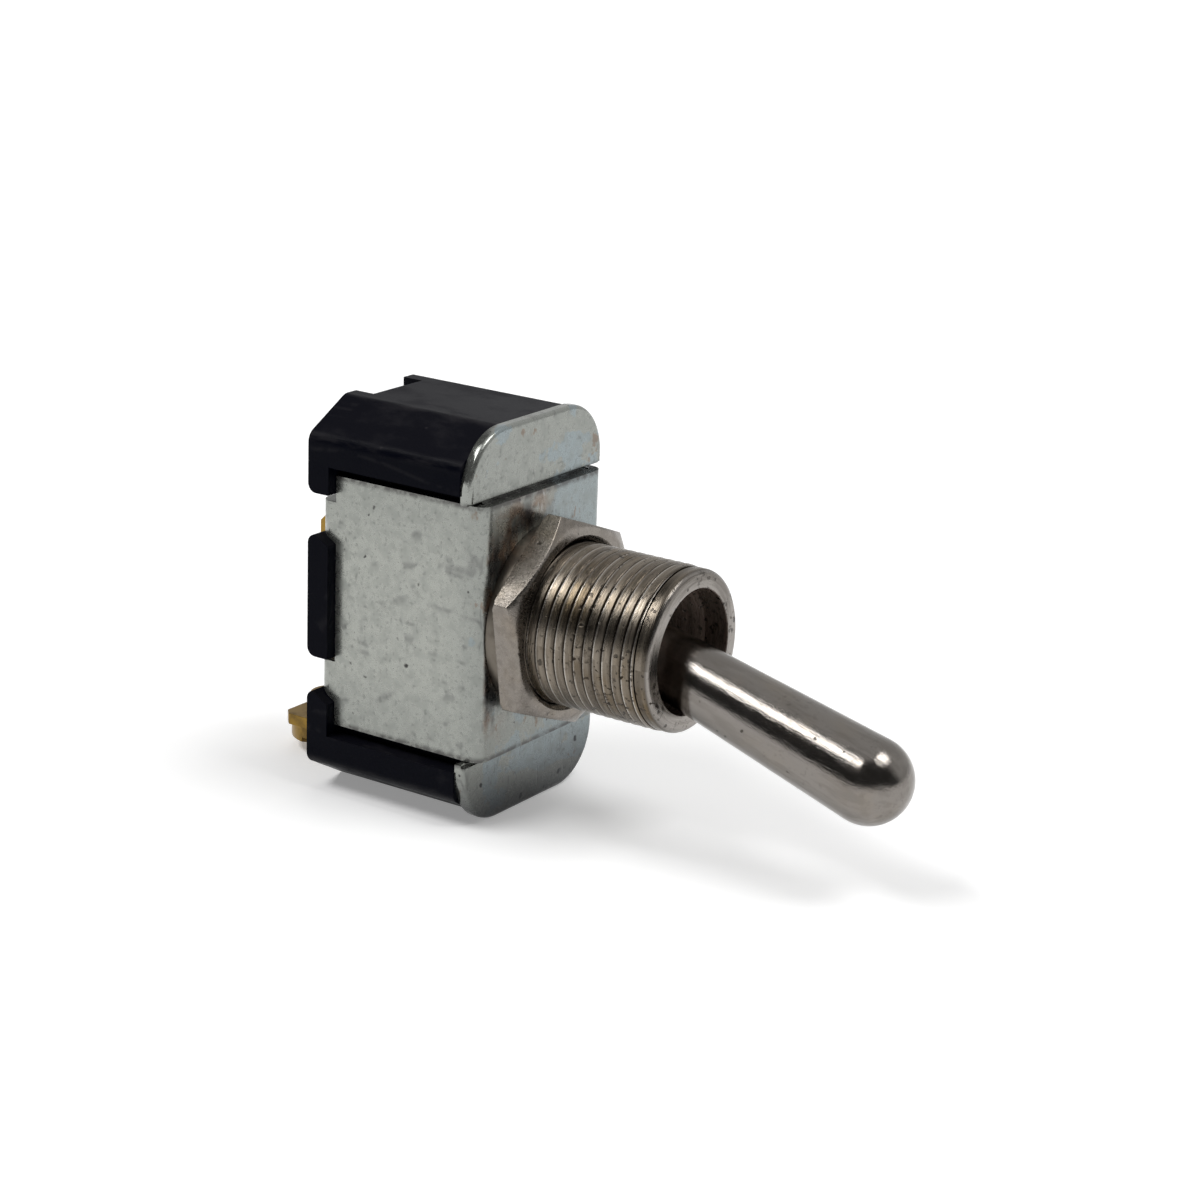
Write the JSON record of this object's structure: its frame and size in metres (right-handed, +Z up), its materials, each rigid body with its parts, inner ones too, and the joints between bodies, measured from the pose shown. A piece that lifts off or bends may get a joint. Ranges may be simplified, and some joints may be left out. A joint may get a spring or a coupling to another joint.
{
  "type": "panel toggle switch",
  "caption": "Single-pole screw-terminal toggle switch with a threaded panel bushing, bat lever, folded steel frame and black moulded case.",
  "frame": {"origin": "on the bushing's axis, in the frame's front face that seats behind the panel", "axes": "-Y along the bushing, out through the panel; +Y back through the case; +Z up along the case's long side, the way the lever throws; +X to the right seen from the front"},
  "size_m": [0.0164, 0.0528, 0.0292],
  "materials": {
    "zinc_steel": "bright zinc plate, lightly scratched, a few brown stains",
    "black_moulding": "satin moulded thermoset",
    "nickel_plate": "satin nickel plate on brass",
    "brass": "plain brass, slightly dulled",
    "silver": "silver contact faces",
    "plain_steel": "ground",
    "spring_steel": "drawn wire",
    "nylon": "natural nylon",
    "fibre": "pressed fibre sheet"
  },
  "bodies": {
    "housing": {"frame": "zinc_steel", "face_plate": "zinc_steel", "case": "black_moulding", "insulator": "fibre", "bushing": "nickel_plate", "pivot_pin": "plain_steel", "pivot_sleeve": "plain_steel", "fulcrum_pin": "plain_steel", "common_terminal": "brass", "common_screw": "brass", "common_rivet": "brass", "load_terminal": "brass", "load_screw": "brass", "load_rivet": "brass", "fixed_contact": "silver"},
    "lever": {"lever": "nickel_plate", "plunger_spring": "spring_steel"},
    "plunger": {"plunger": "nylon"},
    "rocker": {"rocker": "brass", "moving_contact": "silver"},
    "washer": {"lock_washer": "nickel_plate"},
    "nut": {"hex_nut": "nickel_plate"}
  },
  "joints": [
    {"name": "lever_throw", "type": "hinge", "parent": "housing", "child": "lever", "pos_m": [0, -0.00677, 0], "axis": [-1, 0, 0], "range_deg": [0, 32.4]},
    {"name": "rocker_tilt", "type": "hinge", "parent": "housing", "child": "rocker", "pos_m": [0, 0.01087, 0], "axis": [1, 0, 0], "range_deg": [0, 16.2]},
    {"name": "plunger_press", "type": "slide", "parent": "lever", "child": "plunger", "axis": [0, -0.9603, -0.279], "range_m": [0, 0.0008], "stiffness_N_per_m": 300, "springref_m": -0.002, "deforming": ["plunger_spring"]},
    {"name": "washer_slide", "type": "slide", "parent": "housing", "child": "washer", "axis": [0, -1, 0], "range_m": [0, 0.0079]},
    {"name": "nut_turn", "type": "hinge", "parent": "washer", "child": "nut", "pos_m": [0, -0.002, 0], "axis": [0, -1, 0], "range_deg": [0, 3600]}
  ],
  "couplings": [
    {"joint": "rocker_tilt", "follows": "lever_throw", "ratio": 0.5},
    {"joint": "nut_turn", "follows": "washer_slide", "rad_per_m": 7915.8}
  ]
}
